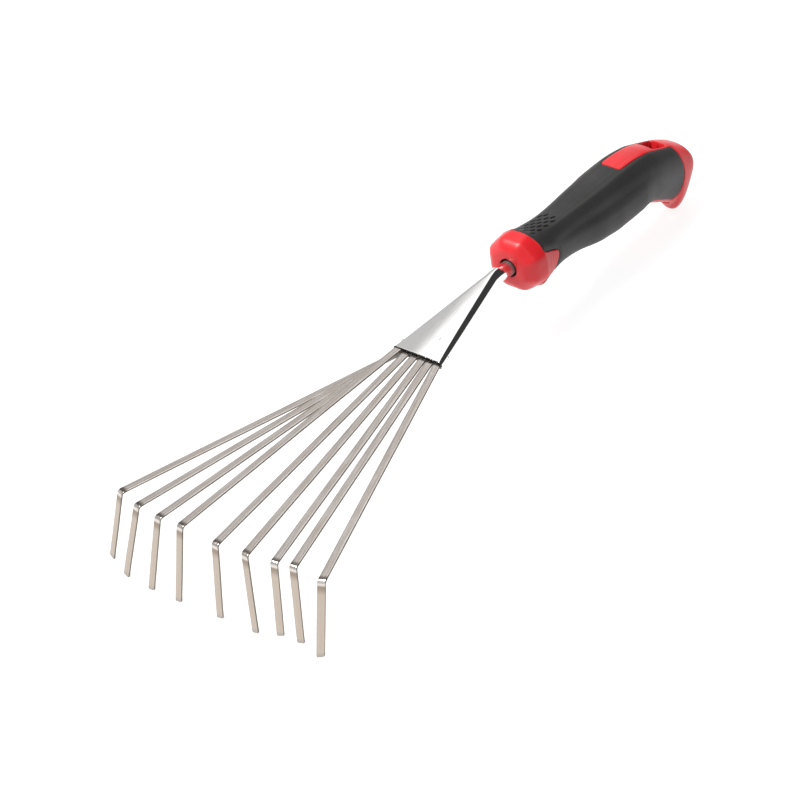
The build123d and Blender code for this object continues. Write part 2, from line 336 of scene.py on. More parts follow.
def chrome_material():
    """Polished plating with faint wiping marks; hazy and darker near the handle, haze with painted shade of
    the recess; near black on the sheet's cut edge, a dull edge with painted shade of the gap under the lip.
    """
    chrome = Nodes(bpy.data.materials.new("chromed_sheet"))
    wiped = chrome.noise(chrome.stretch(chrome.place(), CHROME_WIPING), 1.0, 4, 0.6)
    clouds = chrome.noise(chrome.place(), 70, 3)
    base = chrome.mix(chrome.span(clouds, 0.3, 0.7, 0, 1), CHROME_CLEAR, CHROME_CLOUDED)
    cut = chrome.part(chrome.note("sheet"), "X")
    # near black on the cut edge: a dull cut edge, and painted shade of the gap under the lip
    base = chrome.mix(chrome.span(cut, 0.1, 0.5, 0, 1), base, CUT_EDGE_SHADE)
    haze_and_shade = chrome.part(chrome.note("sheet"), "Y")
    # darker, rougher chrome near and inside the collar: haze, and painted shade of the recess
    base = chrome.mix(chrome.times(haze_and_shade, 0.9), base, CHROME_HAZE_AND_SHADE)
    shine = chrome.add(chrome.span(wiped, 0.35, 0.75, 0.03, 0.07), chrome.span(clouds, 0.4, 0.75, 0, 0.06))
    shine = chrome.add(shine, chrome.times(cut, 0.4))
    shine = chrome.add(shine, chrome.times(haze_and_shade, 0.42))
    chrome.bump(wiped, CHROME_RELIEF)
    chrome.set(Base_Color=base, Roughness=shine, Metallic=1.0)
    return chrome.owner


WELD_DARK = (0.16, 0.15, 0.14)
WELD_LIGHT = (0.36, 0.33, 0.3)
WELD_RELIEF = 0.0001


def weld_material():
    """Dull weld metal with scale."""
    weld = Nodes(bpy.data.materials.new("weld_metal"))
    scale = weld.noise(weld.place(), 900, 5)
    base = weld.mix(weld.span(scale, 0.35, 0.7, 0, 1), WELD_DARK, WELD_LIGHT)
    weld.bump(scale, WELD_RELIEF)
    weld.set(Base_Color=base, Roughness=weld.span(scale, 0.3, 0.7, 0.45, 0.75), Metallic=0.8)
    return weld.owner


ROD_DARK = (0.34, 0.33, 0.32)
ROD_LIGHT = (0.52, 0.51, 0.5)
ROD_LINES = (2500, 60, 2500)
ROD_RELIEF = 0.00001


def rod_material():
    """Drawn steel rod, with drawing lines along it."""
    rod = Nodes(bpy.data.materials.new("rod_steel"))
    lines = rod.noise(rod.stretch(rod.place(), ROD_LINES), 1.0, 4)
    base = rod.mix(rod.span(lines, 0.3, 0.7, 0, 1), ROD_DARK, ROD_LIGHT)
    rod.bump(lines, ROD_RELIEF)
    rod.set(Base_Color=base, Roughness=rod.span(lines, 0.3, 0.7, 0.3, 0.45), Metallic=1.0)
    return rod.owner


RED = (0.6, 0.016, 0.022)
RED_DEEP = (0.52, 0.009, 0.014)
RED_RIM_HIGHLIGHT = (0.5, 0.04, 0.04)
RED_RECESS_SHADE = (0.1, 0.012, 0.01)
RED_FLOW = (60, 25, 60)
RED_RELIEF = 0.000012
RED_RIM = 0.0012


def red_material():
    """Moulded polypropylene: clear red, a fine spark-eroded skin, a painted highlight as a paler line along
    the rim next to the rubber, painted shade in the recess.
    """
    red = Nodes(bpy.data.materials.new("red_plastic"))
    flow = red.noise(red.stretch(red.place(), RED_FLOW), 1.0, 3)
    skin = red.noise(red.place(), 2600, 3, 0.7)
    at_rim = red.span(red.part(red.note("edge"), "X"), 0, RED_RIM, 0.35, 0, smooth=True)
    base = red.mix(red.span(flow, 0.35, 0.65, 0, 1), RED_DEEP, RED)
    # painted highlight: a paler line along the red rim next to the rubber
    base = red.mix(red.times(at_rim, red.span(skin, 0.35, 0.6, 0.3, 1)), base, RED_RIM_HIGHLIGHT)
    # painted shade in the recess around the shank
    base = red.mix(red.times(red.part(red.note("edge"), "Z"), 0.85), base, RED_RECESS_SHADE)
    shine = red.add(red.span(skin, 0.3, 0.7, 0.26, 0.36), red.span(flow, 0.3, 0.7, 0, 0.06))
    red.bump(skin, RED_RELIEF)
    red.set(Base_Color=base, Roughness=shine, Specular_IOR_Level=0.4)
    red.set(Subsurface_Weight=0.08, Subsurface_Scale=0.002, Subsurface_Radius=(1.0, 0.2, 0.1))
    return red.owner


RUBBER = (0.0185, 0.018, 0.018)
RUBBER_WORN = (0.03, 0.029, 0.029)
RUBBER_RIDGE_WEAR_AND_HIGHLIGHT = (0.045, 0.043, 0.042)
RUBBER_SHADE = (0.004, 0.004, 0.004)
RUBBER_RELIEF = 0.00003
RUBBER_RIM = 0.0008


def rubber_material():
    """Black thermoplastic rubber: matt, with a fine grain, lint grey where it is handled, a lighter ridge of
    wear and painted highlight, painted shade at its rim and in the dashes.
    """
    rubber = Nodes(bpy.data.materials.new("grip_rubber"))
    grain = rubber.noise(rubber.place(), 2200, 4, 0.7)
    handled = rubber.noise(rubber.place(), 55, 4)
    # x from the rubber's edge, y on a ridge, z in a dash
    edge = rubber.note("edge")
    base = rubber.mix(rubber.span(handled, 0.4, 0.7, 0, 0.6), RUBBER, RUBBER_WORN)
    # lighter along the ridge: wear, and a painted highlight
    ridge_wear_and_highlight = rubber.times(rubber.part(edge, "Y"), rubber.span(grain, 0.35, 0.65, 0.4, 0.9))
    base = rubber.mix(ridge_wear_and_highlight, base, RUBBER_RIDGE_WEAR_AND_HIGHLIGHT)
    at_rim = rubber.span(rubber.part(edge, "X"), 0, RUBBER_RIM, 0.6, 0, smooth=True)
    base = rubber.mix(at_rim, base, RUBBER_SHADE)
    in_dash = rubber.part(edge, "Z")
    base = rubber.mix(in_dash, base, RUBBER_SHADE)
    shine = rubber.add(rubber.span(grain, 0.3, 0.7, 0.46, 0.6), rubber.span(handled, 0.35, 0.7, 0, -0.06))
    shine = rubber.add(shine, rubber.times(in_dash, 0.4))
    rubber.bump(grain, RUBBER_RELIEF)
    rubber.set(Base_Color=base, Roughness=shine, Specular_IOR_Level=0.35)
    return rubber.owner


# -------- tines

FOLD_RADIUS = 0.00165
EDGE_RADIUS = 0.0004
ARM_ROWS = 40
LEG_ROWS = 14
FOLD_ROWS = 14
ROOT_ROWS = 4
FLAT_POINTS = 7
CORNER_POINTS = 5
ROOT_LENGTH = 0.006
# how far in front of the cut the tip's rings lie, their width and their thickness
TIP_RINGS = ((0.001, 1.0, 1.0), (0.0005, 0.965, 0.95), (0.00018, 0.9, 0.85), (0.0, 0.8, 0.7))
TIP_RINGS += ((0.0, 0.5, 0.4),)
TIP_START = 0.0014
FOLD_SPREAD = 0.035
WAVE_HEIGHT = 0.00006
ARM_WAVES, LEG_WAVES = 9, 5
TINE_SHARP = 50
# where the CAD tine is cut to measure it: before its ends, up its leg, and up to where its tip lies
ARM_CUT = 0.03
LEG_CUTS = (0.028, 0.008)
TIP_TOP = 0.004
ON_PLANE = 0.00001


def strip_outline(width, thickness):
    """Cross-section of a strip as (across, through) pairs, with rolled edges and points on each flat."""
    outline = []
    across, through = width / 2 - EDGE_RADIUS, thickness / 2 - EDGE_RADIUS
    flat = np.linspace(across, -across, FLAT_POINTS)[1:-1]
    for side_x, side_z, first in ((1, 1, 0), (-1, 1, 90), (-1, -1, 180), (1, -1, 270)):
        for turn in np.linspace(first, first + 90, CORNER_POINTS):
            angle = radians(turn)
            x = side_x * across + EDGE_RADIUS * cos(angle)
            outline.append((x, side_z * through + EDGE_RADIUS * sin(angle)))
        if side_x == 1 and side_z == 1:
            outline += [(x, thickness / 2) for x in flat]
        if side_x == -1 and side_z == -1:
            outline += [(x, -thickness / 2) for x in flat[::-1]]
    return outline


def make_tine(node, number, material):
    """A bent strip along the centre line of the CAD tine, with a worked fold and a ground tip."""
    low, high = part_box(node)
    near = middle(crossings(node, (0, high.y - ARM_CUT, 0), BACK))
    far_points = crossings(node, (0, low.y + ARM_CUT, 0), BACK)
    far = middle(far_points)
    arm = (far - near).normalized()
    leg_top, leg_low = [middle(crossings(node, (0, 0, height), UP)) for height in LEG_CUTS]
    leg = (leg_low - leg_top).normalized()
    top = largest_face(node, lambda centre, normal: normal.z > 0.9).normal.copy()
    front = largest_face(node, lambda centre, normal: normal.y < -0.8 and centre.z > TIP_TOP).normal.copy()
    cut = largest_face(node, lambda centre, normal: normal.dot(leg) > 0.7 and centre.z < TIP_TOP)
    root = largest_face(node, lambda centre, normal: normal.y > 0.9 and centre.y > high.y - ROOT_LENGTH)
    fold_line = top.cross(front).normalized()
    if fold_line.x < 0:
        fold_line.negate()

    width = extent(far_points, arm.cross(top).normalized())
    thickness = extent(far_points, top)
    skew = asin(arm.dot(fold_line))
    across = fold_line / cos(skew)
    fold_angle = top.angle(front)
    corner = meeting(far, arm, leg_top, leg)
    reach = FOLD_RADIUS * tan(fold_angle / 2) / cos(skew)
    fold_start = corner - arm * reach
    fold_end = corner + leg * reach

    root_corners = corners_of(node)
    in_root = abs((root_corners - np.array(root.center)) @ np.array(root.normal)) < ON_PLANE
    root_end = middle(root_corners[in_root])
    mouth = near + arm * (((root_end - near).dot(root.normal) - ROOT_LENGTH) / arm.dot(root.normal))
    leg_length = (cut.center - fold_end).dot(cut.normal) / leg.dot(cut.normal)
    arm_length = (fold_start - mouth).length
    fold_length = FOLD_RADIUS * fold_angle

    # stations: centre, normal of the strip, distance from the tip, how much the bending widens it inside
    stations = []
    tip_to_mouth = leg_length + fold_length + arm_length
    for share in np.linspace(0, 1, ROOT_ROWS)[:-1]:
        run = tip_to_mouth + (mouth - root_end).length * (1 - share)
        stations.append((root_end.lerp(mouth, share), top, run, 0))
    for share in np.linspace(0, 1, ARM_ROWS):
        wave = WAVE_HEIGHT * sin(ARM_WAVES * share + number) * sin(pi * share)
        centre = mouth.lerp(fold_start, share) + top * wave
        stations.append((centre, top, leg_length + fold_length + arm_length * (1 - share), 0))
    centre_of_fold = fold_start - top * FOLD_RADIUS
    slide = (fold_end - fold_start).dot(fold_line)
    for share in np.linspace(0, 1, FOLD_ROWS)[1:-1]:
        normal = Matrix.Rotation(fold_angle * share, 3, fold_line) @ top
        centre = centre_of_fold + normal * FOLD_RADIUS + fold_line * (slide * share)
        run = leg_length + fold_length * (1 - share)
        stations.append((centre, normal, run, sin(pi * share)))
    for share in np.linspace(0, 1 - TIP_START / leg_length, LEG_ROWS):
        wave = WAVE_HEIGHT * sin(LEG_WAVES * share + 2 * number) * sin(pi * share)
        centre = fold_end + leg * (leg_length * share) + front * wave
        stations.append((centre, front, leg_length * (1 - share), 0))

    outline = strip_outline(width, thickness)
    columns = len(outline)
    middle_of_fold = leg_length + fold_length / 2
    points, notes = [], []
    for centre, normal, run, worked in stations:
        for x, z in outline:
            spread = 1 - FOLD_SPREAD * worked * z / (thickness / 2)
            points.append(centre + across * (x * spread) + normal * z)
            notes.append((x, run, run - middle_of_fold))
    for depth, wide, thick in TIP_RINGS:
        for x, z in outline:
            start = fold_end + across * (x * wide) + front * (z * thick)
            share = (cut.center - start).dot(cut.normal) / leg.dot(cut.normal) - depth
            points.append(start + leg * share)
            notes.append((x * wide, depth, depth - middle_of_fold))
    for point in points:
        point.z = max(point.z, WHOLE_LOW.z)
    rows = len(points) // columns
    faces = tube_faces(rows, columns) + end_faces(rows, columns)
    name = f"tine_strip_{number}"
    make_piece(name, points, faces, material, [node], {"strip": notes}, TINE_SHARP)


# -------- ferrule

FERRULE_RISE = radians(8)
SHANK_FALL = radians(8)
NECK_BEND = 0.015
NECK_DIAMETER = 0.0076
SHEET = 0.0007
MOUTH_HEIGHT = 0.0052
MOUTH_CORNER = 0.0017
FERRULE_CROWN = 0.00022
SIDE_SWELL = 0.45
FERRULE_LENGTH = 0.0586
SHANK_LENGTH = 0.036
RIM_ROUNDING = 0.00012
RIM_TURNS = (90, 60, 30, 0)
SPOT_PLACE = (0.0038, 0.013)
SPOT_RADIUS = 0.00045
SPOT_DEPTH = 0.00003
HAZE_AND_SHADE_REACH = 0.004
FERRULE_COLUMNS = 220
FERRULE_RING_STEP = 0.0006
FERRULE_SHARP = 35
INSIDE_RING_STEP = 4
CORNER_SLACK = 0.00002


def rounded_rectangle(width, height, corner, count):
    """Evenly spaced points around a rounded rectangle, from the middle of its top, with their normals."""
    flat_x, flat_z = width / 2 - corner, height / 2 - corner
    lengths = (flat_x, pi / 2 * corner, 2 * flat_z, pi / 2 * corner, 2 * flat_x)
    lengths += (pi / 2 * corner, 2 * flat_z, pi / 2 * corner, flat_x)
    total = sum(lengths)
    made = []
    for step in range(count):
        run = total * step / count
        piece = 0
        while run > lengths[piece]:
            run -= lengths[piece]
            piece += 1
        quarter = (piece + 1) // 2
        turn = pi / 2 * quarter
        if piece % 2:
            turn = pi / 2 * (piece // 2) + run / corner
            centre_x = flat_x if piece in (1, 3) else -flat_x
            centre_z = flat_z if piece in (1, 7) else -flat_z
            x, z = centre_x + corner * sin(turn), centre_z + corner * cos(turn)
        elif piece in (0, 8):
            x, z = (run if piece == 0 else run - flat_x), height / 2
            turn = 0
        elif piece == 4:
            x, z = flat_x - run, -height / 2
        else:
            x = width / 2 if piece == 2 else -width / 2
            z = flat_z - run if piece == 2 else run - flat_z
        made.append((x, z, sin(turn), cos(turn)))
    return made


def make_ferrule(material):
    """The chromed sheet: a flat mouth that narrows to a bent tube, with a rounded rim and a spot weld."""
    low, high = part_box("ferrule")
    along = Vector((0, cos(FERRULE_RISE), sin(FERRULE_RISE)))
    falling = Vector((0, cos(SHANK_FALL), -sin(SHANK_FALL)))
    corners = corners_of("ferrule")
    behind = corners @ np.array(along)
    mouth = middle(corners[behind < behind.min() + CORNER_SLACK])
    width = high.x - low.x
    turn_total = FERRULE_RISE + SHANK_FALL

    def ring(distance, inward):
        """One ring of the sheet, at a distance behind the mouth and a depth under its outer face."""
        if distance <= FERRULE_LENGTH:
            share = distance / FERRULE_LENGTH
            size_x = width + (NECK_DIAMETER - width) * share
            size_z = MOUTH_HEIGHT + (NECK_DIAMETER - MOUTH_HEIGHT) * share
            corner = MOUTH_CORNER + (NECK_DIAMETER / 2 - MOUTH_CORNER) * share**SIDE_SWELL
            corner = min(corner, size_z / 2 - CORNER_SLACK)
            centre, up = mouth + along * distance, RIGHT.cross(along)
            crown = FERRULE_CROWN * (1 - share)
        else:
            size_x = size_z = NECK_DIAMETER
            corner = NECK_DIAMETER / 2 - CORNER_SLACK
            crown = 0
            turn = min((distance - FERRULE_LENGTH) / NECK_BEND, turn_total)
            rest = distance - FERRULE_LENGTH - turn * NECK_BEND
            slope = FERRULE_RISE - turn
            up_start = Vector((0, -sin(FERRULE_RISE), cos(FERRULE_RISE)))
            up = Vector((0, -sin(slope), cos(slope)))
            centre = mouth + along * FERRULE_LENGTH + (up - up_start) * NECK_BEND + falling * rest
        made = []
        for x, z, out_x, out_z in rounded_rectangle(size_x, size_z, corner, FERRULE_COLUMNS):
            point = centre + RIGHT * (x - out_x * inward) + up * (z - out_z * inward)
            if inward < SHEET / 2 and z > 0:
                away = hypot(x - SPOT_PLACE[0], distance - SPOT_PLACE[1])
                point -= up * (SPOT_DEPTH * exp(-((away / SPOT_RADIUS) ** 4)))
            point -= up * copysign(crown * (2 * x / size_x) ** 2, z)
            made.append(point)
        return made

    end = FERRULE_LENGTH + NECK_BEND * turn_total + SHANK_LENGTH
    turns = [radians(turn) for turn in RIM_TURNS]
    rim = [(RIM_ROUNDING * (1 - sin(turn)), RIM_ROUNDING * (1 - cos(turn))) for turn in turns]
    places = list(np.arange(FERRULE_RING_STEP, end, FERRULE_RING_STEP))
    # distance behind the mouth, depth under the outer face, share of cut edge
    stations = [(distance, depth, 1 - distance / RIM_ROUNDING) for distance, depth in rim]
    stations += [(place, 0, 0) for place in places] + [(end, 0, 0), (end, SHEET, 0)]
    stations += [(place, SHEET, 0) for place in places[::-INSIDE_RING_STEP]]
    stations += [(distance, SHEET - depth, 1 - distance / RIM_ROUNDING) for distance, depth in rim[::-1]]
    points, notes = [], []
    upper = FERRULE_COLUMNS // 4
    for distance, depth, cut in stations:
        made = ring(distance, depth)
        # share of haze and painted recess shade, rising over the last stretch before the collar
        haze_and_shade = blend_step(-HAZE_AND_SHADE_REACH, 0, made[0].y - COLLAR_START)
        for column in range(FERRULE_COLUMNS):
            on_top = column < upper or column > FERRULE_COLUMNS - upper
            notes.append((cut * on_top, haze_and_shade, 0))
        points += made
    # one ring more than there is, so that the last ring meets the first
    faces = tube_faces(len(stations) + 1, FERRULE_COLUMNS)
    faces = [tuple(corner % len(points) for corner in face) for face in faces]
    notes = {"sheet": notes}
    make_piece("ferrule_sheet", points, faces, material, ["ferrule"], notes, FERRULE_SHARP)


WELD_BEADS = 7
WELD_RIPPLES = 26
WELD_COLUMNS, WELD_ROWS = 28, 90
# the weld's length and its parts' sizes against its box, and how soon its ends close
WELD_LENGTH = 0.98
WELD_BODY, WELD_BEAD, WELD_RIPPLE, WELD_TIP = 0.8, 0.12, 0.03, 0.15
WELD_END = 6


def make_weld(material):
    """A run of overlapping beads over the roots, inside the mouth."""
    low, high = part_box("root_weld")
    centre, half = (low + high) / 2, (high - low) / 2
    points = []
    for share in np.arange(WELD_ROWS) / (WELD_ROWS - 1):
        bead = abs(sin(pi * WELD_BEADS * share))
        ripple = WELD_RIPPLE * sin(2 * pi * WELD_RIPPLES * share)
        closing = min(1, WELD_END * share, WELD_END * (1 - share)) ** 0.5
        size = (WELD_BODY + WELD_BEAD * bead + ripple) * (WELD_TIP + (1 - WELD_TIP) * closing)
        for column in range(WELD_COLUMNS):
            turn = 2 * pi * column / WELD_COLUMNS
            x = centre.x + half.x * WELD_LENGTH * (2 * share - 1)
            y = centre.y + half.y * size * cos(turn)
            z = centre.z + half.z * size * sin(turn)
            points.append((x, y, z))
    faces = tube_faces(WELD_ROWS, WELD_COLUMNS) + end_faces(WELD_ROWS, WELD_COLUMNS)
    make_piece("weld_beads", points, faces, material, ["root_weld"])


# -------- handle

GRIP_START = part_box("grip")[0].y
COLLAR_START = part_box("handle_core")[0].y
HANDLE_END = WHOLE_HIGH.y
SECTION_ROUNDNESS = 2.3
GROOVE_ANGLE = 60.0
GROOVE_SPREAD = 17.0
GROOVE_DEPTH = 0.07
GROOVE_MIDDLE = 0.046
GROOVE_REACH = 0.026
HEEL_TAPER = 0.68
HEEL_TAPER_START = 0.08
RIDGE_ANGLE = 26.0
RIDGE_SPREAD = 13.0
RIDGE_LINE = 3.5
RIDGE_HEIGHT = 0.03
VALLEY_ANGLE = 64.0
VALLEY_SPREAD = 15.0
VALLEY_DEPTH = 0.026
CREASE_ROUNDING = 1.6
CREASE_ENDS = (0.008, 0.024, 0.072, 0.104)

HOLE_PLACE = 0.106
HOLE_HALF = (0.005, 0.0055)
HOLE_CORNER = 0.0015
INLAY_HALF = 0.006
INLAY_PLACE = 0.0717
INLAY_CORNER = 0.0025
GRIP_DEPTH = 0.002

# Edges of the rubber in side view: place behind the grip's front edge, then height
TONGUE_EDGE = ((0.0, 0.07), (0.0, 0.051), (0.003, 0.0488), (0.008, 0.0464), (0.0114, 0.0446))
TONGUE_EDGE += ((0.012, 0.0426), (0.011, 0.04), (0.0095, 0.0375), (0.0083, 0.035), (0.0075, 0.033))
TONGUE_EDGE += ((0.0075, 0.01),)
HEEL_EDGE = ((0.1143, 0.07), (0.1143, 0.0412), (0.1144, 0.0363), (0.115, 0.028), (0.1147, 0.021))
HEEL_EDGE += ((0.1132, 0.0148), (0.11, 0.0127), (0.1054, 0.0153), (0.1005, 0.0182), (0.093, 0.0224))
HEEL_EDGE += ((0.084, 0.0245), (0.076, 0.023), (0.071, 0.015))


def section_shape(place, angle):
    """The grip's cross-section as (across, up) in half sizes, at degrees from the top towards +X."""
    groove = GROOVE_DEPTH * exp(-(((place - GROOVE_MIDDLE) / GROOVE_REACH) ** 2))
    taper = HEEL_TAPER * max(0, (place - HEEL_TAPER_START) / (HANDLE_END - GRIP_START - HEEL_TAPER_START))
    across, up = sin(radians(angle)), cos(radians(angle))
    power = abs(across) ** SECTION_ROUNDNESS + abs(up) ** SECTION_ROUNDNESS
    from_groove = (degrees(acos(max(-1, min(1, up)))) - GROOVE_ANGLE) / GROOVE_SPREAD
    size = power ** (-1 / SECTION_ROUNDNESS) * (1 - groove * exp(-(from_groove**2)))
    return size * across * (1 - taper * (1 - up) / 2), size * up


PROFILE_FIRST = 0.0003
PROFILE_STEP = 0.006
PROFILE_REAR = (0.0138, 0.011, 0.0085, 0.006, 0.0035, 0.002, 0.001, 0.0004)
HOLE_MARGIN = 0.0005


def read_profile():
    """Place, top, bottom and half width of the CAD handle, in front of the hanging hole and behind it."""
    length = HANDLE_END - GRIP_START
    hole_front = HOLE_PLACE - HOLE_HALF[1] - HOLE_MARGIN
    places = [PROFILE_FIRST] + list(np.arange(PROFILE_STEP, hole_front, PROFILE_STEP))
    places += [length - rest for rest in PROFILE_REAR]
    rows = []
    for place in places:
        plane = (0, GRIP_START + place, 0)
        cut = np.vstack([crossings("handle_core", plane, BACK), crossings("grip", plane, BACK)])
        widest = max(section_shape(place, angle)[0] for angle in range(0, 180, 2))
        rows.append([place, cut[:, 2].max(), cut[:, 2].min(), abs(cut[:, 0]).max() / widest])
    return np.array(rows)


PROFILE = read_profile()


def profile_at(place):
    """Top, bottom and half width at any place, on smooth curves through the measured rows."""
    rows = PROFILE
    last = len(rows) - 2
    i = int(np.clip(np.searchsorted(rows[:, 0], place, side="right") - 1, 0, last))
    span = rows[i + 1, 0] - rows[i, 0]
    slope = (rows[i + 1] - rows[i]) / span
    before = slope if i == 0 else (rows[i + 1] - rows[i - 1]) / (rows[i + 1, 0] - rows[i - 1, 0])
    after = slope if i == last else (rows[i + 2] - rows[i]) / (rows[i + 2, 0] - rows[i, 0])
    t = np.clip((place - rows[i, 0]) / span, 0, 1)
    rise = t * t * (3 - 2 * t) * (rows[i + 1] - rows[i])
    value = rows[i] + rise + span * t * (1 - t) * ((1 - t) * before - t * after)
    return value[1], value[2], value[3]


def crease_share(place):
    """1 where the ridges and valleys of the grip are full, 0 where they have run out."""
    start, full, fading, end = CREASE_ENDS
    return blend_step(start, full, place) * (1 - blend_step(fading, end, place))


def crease(angle, middle_angle, spread):
    """1 on a crease and 0 away from it, with straight sides and a small rounding."""
    side = angle if angle <= 180 else 360 - angle
    away = hypot(abs(side) - middle_angle, CREASE_ROUNDING) - CREASE_ROUNDING
    return max(0, 1 - away / spread)


def body_point(place, angle):
    """A point of the handle's skin, at an angle in degrees from the top towards +X."""
    top, bottom, half_width = profile_at(place)
    ridge = RIDGE_HEIGHT * crease(angle, RIDGE_ANGLE, RIDGE_SPREAD)
    valley = VALLEY_DEPTH * crease(angle, VALLEY_ANGLE, VALLEY_SPREAD)
    size = 1 + (ridge - valley) * crease_share(place)
    across, up = section_shape(place, angle)
    height = max(WHOLE_LOW.z, (top + bottom) / 2 + (top - bottom) / 2 * size * up)
    return Vector((half_width * size * across, GRIP_START + place, height))


RECESS_RINGS = 4
COLLAR_AXIS = ((0.0, 0.0442), (0.004, 0.0438), (0.012, 0.0428))
# distance behind the collar's front, radius over the flats, sharpness of the eight facets
COLLAR_PROFILE = (
    (0.006, 0.004, 2),
    (0.006, 0.0048, 2),
    (0.003, 0.0048, 2),
    (0.0008, 0.00485, 2),
    (0.0002, 0.005, 2),
    (0.00002, 0.0055, 2.5),
    (0.0, 0.0068, 4),
    (0.0001, 0.008, 8),
    (0.0003, 0.0092, 14),
    (0.0008, 0.0103, 22),
    (0.0016, 0.01145, 26),
    (0.0026, 0.01255, 26),
    (0.0038, 0.0135, 24),
    (0.005, 0.01405, 22),
    (0.0068, 0.0144, 20),
    (0.009, 0.01475, 16),
    (0.0108, 0.01505, 12),
    (0.0116, 0.01522, 10),
)


def collar_point(distance, radius, sharpness, angle):
    """A point of the collar's soft octagon."""
    turn = radians(angle)
    reach = sum(abs(cos(turn - pi / 4 * facet)) ** sharpness for facet in range(4))
    reach = radius / reach ** (1 / sharpness) if sharpness > 3 else radius
    axis = np.interp(distance, [row[0] for row in COLLAR_AXIS], [row[1] for row in COLLAR_AXIS])
    return Vector((reach * sin(turn), COLLAR_START + distance, axis + reach * cos(turn)))


def outline_distance(points, y, z):
    """Signed distance of points to a polyline in side view: positive on its left, going along it."""
    best = np.full(len(y), 1e9)
    sign = np.ones(len(y))
    for (y0, z0), (y1, z1) in zip(points[:-1], points[1:]):
        dy, dz = y1 - y0, z1 - z0
        share = np.clip(((y - y0) * dy + (z - z0) * dz) / (dy * dy + dz * dz), 0, 1)
        away = np.hypot(y - y0 - share * dy, z - z0 - share * dz)
        side = np.sign(dy * (z - z0) - dz * (y - y0))
        nearer = away < best - 1e-9
        best = np.where(nearer, away, best)
        sign = np.where(nearer, side, sign)
    return best * sign


def smooth_line(points, steps=8):
    """The same line with its bends rounded by a smooth curve through the points."""
    rows = np.array(points)
    made = [tuple(rows[0])]
    for i in range(1, len(rows) - 2):
        for t in np.linspace(0, 1, steps, endpoint=False):
            a, b, c, d = rows[i - 1], rows[i], rows[i + 1], rows[i + 2]
            if i == 1:
                a = 2 * b - c
            if i == len(rows) - 3:
                d = 2 * c - b
            curve = 2 * b + (c - a) * t + (2 * a - 5 * b + 4 * c - d) * t**2
            made.append(tuple((curve + (3 * b - a - 3 * c + d) * t**3) / 2))
    made.append(tuple(rows[-2]))
    made.append(tuple(rows[-1]))
    return made


def rounded_box_distance(x, y, half, corner):
    """Signed distance to a rounded rectangle around the origin: negative inside."""
    over_x = abs(x) - (half[0] - corner)
    over_y = abs(y) - (half[1] - corner)
    outside = np.hypot(np.maximum(over_x, 0), np.maximum(over_y, 0))
    return outside + np.minimum(np.maximum(over_x, over_y), 0) - corner


def split_faces(rows, faces, column):
    """Splits faces where one column of the rows is zero: (faces where it is positive, the others)."""
    made = {}
    positive, negative = [], []

    def crossing(a, b):
        key = (min(a, b), max(a, b))
        if key not in made:
            share = rows[a][column] / (rows[a][column] - rows[b][column])
            made[key] = len(rows)
            rows.append(rows[a] + (rows[b] - rows[a]) * share)
            rows[-1][column] = 0.0
        return made[key]

    for face in faces:
        signs = [rows[point][column] > 0 for point in face]
        if all(signs):
            positive.append(face)
        elif not any(signs):
            negative.append(face)
        else:
            kept = {True: [], False: []}
            for here, there in zip(face, face[1:] + face[:1]):
                side_here, side_there = rows[here][column] > 0, rows[there][column] > 0
                kept[side_here].append(here)
                if side_here != side_there:
                    shared = crossing(here, there)
                    kept[True].append(shared)
                    kept[False].append(shared)
            for side, target in ((True, positive), (False, negative)):
                if len(kept[side]) > 2:
                    target.append(tuple(kept[side]))
    return positive, negative


DASH_HALF = (0.0005, 0.0015)
DASH_SLANT = radians(20)
DASH_PITCH = (0.002, 0.0052)
DASH_START = 0.0043
DASH_ROWS = 8
DASH_DEPTH = 0.001
DASH_EDGE = (-0.00022, 0.00008)
DASH_HEIGHT = 0.045


def dash_depth(x, place, z):
    """Depth of the little slots behind the collar, in staggered rows that narrow towards the rear."""
    depth = np.zeros(len(x))
    for row in range(DASH_ROWS):
        reach = 2 if row < DASH_ROWS - 1 else 1
        for step in range(-reach, reach + 1):
            if (step - row) % 2:
                continue
            aside = x - step * DASH_PITCH[0]
            behind = place - DASH_START - row * DASH_PITCH[1] / 2
            across = aside * cos(DASH_SLANT) - behind * sin(DASH_SLANT)
            along = aside * sin(DASH_SLANT) + behind * cos(DASH_SLANT)
            away = rounded_box_distance(across, along, DASH_HALF, DASH_HALF[0] * 0.99)
            depth = np.maximum(depth, 1 - blend_step(*DASH_EDGE, away))
    return depth * DASH_DEPTH * (z > DASH_HEIGHT)


RIB_PITCH = 0.0019
RIB_SLANT = 0.35
RIB_HEIGHT = 0.00016
RED_ROUNDING = 0.0004
HOLE_ROUNDING = 0.0005
GRIP_STEP = 0.0006
GRIP_STEP_REACH = 0.0016
SHADOW_LINE = 0.00035
SHADOW_LINE_REACH = 0.00045
# distance in front of the tang's end and radius, for the rings down in the handle's pocket
POCKET_RINGS = ((0.0, 0.0004), (0.0, 0.0031), (0.046, 0.0031), (0.046, 0.0038), (0.066, 0.0038))
TANG_RADIUS = 0.0031
FINE_HALF_TURN = 36
FINE_TURN = 1.0
COARSE_TURN = 2.4
# start, end and step of the rings along the grip
RING_RUNS = (
    (0.0, 0.001, 0.0002),
    (0.001, 0.03, 0.00028),
    (0.03, 0.098, 0.0007),
    (0.098, 0.1165, 0.0004),
)
REAR_RINGS = 26
REAR_BULGE = 0.00042
# size and bulge of the rings that close the rear face
CLOSING_RINGS = ((0.985, 0.00025), (0.95, 0.00036), (0.85, 0.0004), (0.6, 0.0004), (0.3, 0.0004))
CLOSING_RINGS += ((0.02, 0.0004),)
NO_EDGE = 1e-7
INLAY_REACH = 0.06
DEEPEST_FRONT = 0.0005
GRIP_CLEARANCE = 0.00002
